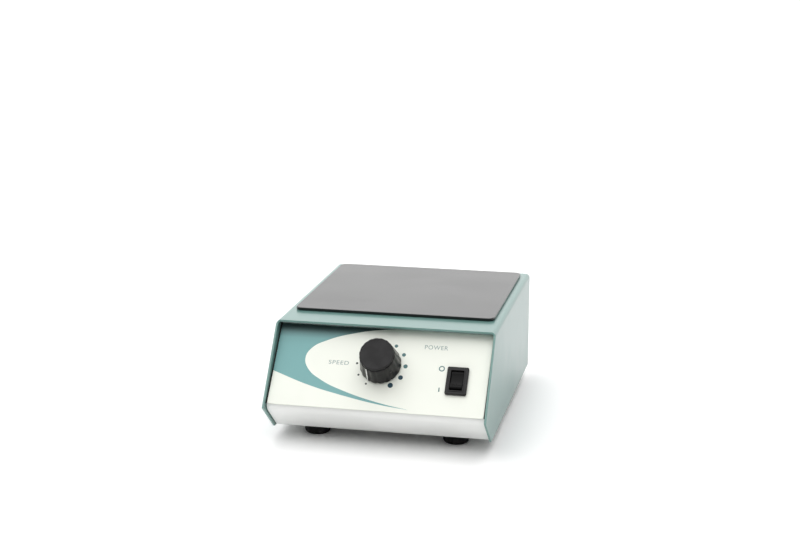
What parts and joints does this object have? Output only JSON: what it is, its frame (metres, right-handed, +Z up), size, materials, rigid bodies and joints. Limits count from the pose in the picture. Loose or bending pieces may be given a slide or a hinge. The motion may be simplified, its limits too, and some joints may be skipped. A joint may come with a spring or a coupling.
{
  "type": "magnetic stirrer",
  "caption": "Low bench stirrer in a folded steel cover, with a leaning front panel, speed knob, rocker switch, flat black top plate and a magnet yoke turning beneath it.",
  "frame": {"origin": "on the bench under the middle of the body", "axes": "+Z up, front panel faces -Y, +X to the right seen from the front"},
  "size_m": [0.16, 0.214, 0.0863],
  "materials": {
    "teal_paint": "semi-gloss powder coat, grey-green",
    "white_paint": "semi-gloss powder coat, off-white",
    "overlay_print": "printed polycarbonate film, fine matt",
    "black_gloss": "smooth black laminate",
    "black_plastic": "fine matt moulding",
    "rubber": "matt rubber",
    "steel": "plain steel",
    "zinc": "bright zinc plate",
    "brass": "plain brass",
    "aluminium": "machined",
    "magnet": "nickel plate",
    "board": "green solder mask",
    "nylon": "natural nylon",
    "glass": "clear tube",
    "blue_sleeve": "shrink sleeve",
    "green_block": "moulded",
    "brown_wire": "pvc insulation",
    "red_wire": "pvc insulation",
    "grey_wire": "pvc insulation",
    "earth_wire": "pvc insulation, green and yellow"
  },
  "bodies": {
    "body": {"cover": "teal_paint", "chassis": "white_paint", "front_overlay": "overlay_print", "top_plate": "black_gloss", "foot_front_left": "rubber", "foot_front_right": "rubber", "foot_rear_left": "rubber", "foot_rear_right": "rubber", "foot_screw_front_left": "zinc", "foot_screw_front_right": "zinc", "foot_screw_rear_left": "zinc", "foot_screw_rear_right": "zinc", "cover_screw_front_left": "zinc", "cover_screw_front_right": "zinc", "cover_screw_rear_left": "zinc", "cover_screw_rear_right": "zinc", "pot_body": "steel", "pot_nut": "brass", "switch_housing": "black_plastic", "switch_terminal_upper": "brass", "switch_terminal_lower": "brass", "inlet_housing": "black_plastic", "inlet_pin_line": "brass", "inlet_pin_neutral": "brass", "inlet_pin_earth": "brass", "inlet_screw_left": "zinc", "inlet_screw_right": "zinc", "motor_case": "steel", "motor_end_cap": "black_plastic", "motor_bracket": "zinc", "motor_screw_left": "zinc", "motor_screw_right": "zinc", "bracket_screw_left": "zinc", "bracket_screw_right": "zinc", "control_board": "board", "board_support_front_left": "nylon", "board_support_front_right": "nylon", "board_support_rear_left": "nylon", "board_support_rear_right": "nylon", "transformer": "steel", "capacitor": "blue_sleeve", "terminal_block": "green_block", "earth_stud": "brass", "live_wire": "brown_wire", "switched_wire": "red_wire", "motor_wire": "grey_wire", "speed_wire": "grey_wire", "earth_wire": "earth_wire"},
    "knob": {"knob_body": "black_plastic", "knob_cap": "black_plastic", "knob_collet": "brass", "pot_shaft": "aluminium"},
    "rocker": {"switch_rocker": "black_plastic"},
    "rotor": {"motor_shaft": "steel", "magnet_yoke": "aluminium", "yoke_set_screw": "steel", "magnet_north": "magnet", "magnet_south": "magnet"},
    "drawer": {"fuse_drawer": "black_plastic", "fuse": "glass"}
  },
  "joints": [
    {"name": "knob_turn", "type": "hinge", "parent": "body", "child": "knob", "pos_m": [0, -0.07923, 0.05879], "axis": [0, 0.7485, -0.6632], "range_deg": [0, 300]},
    {"name": "rocker_tilt", "type": "hinge", "parent": "body", "child": "rocker", "pos_m": [0.0558, -0.0843, 0.05126], "axis": [1, 0, 0], "range_deg": [0, 18]},
    {"name": "rotor_spin", "type": "hinge", "parent": "body", "child": "rotor", "pos_m": [0, 0.03, 0.06], "axis": [0, 0, 1], "continuous": true},
    {"name": "drawer_slide", "type": "slide", "parent": "body", "child": "drawer", "axis": [0, 1, 0], "range_m": [0, 0.018]}
  ]
}
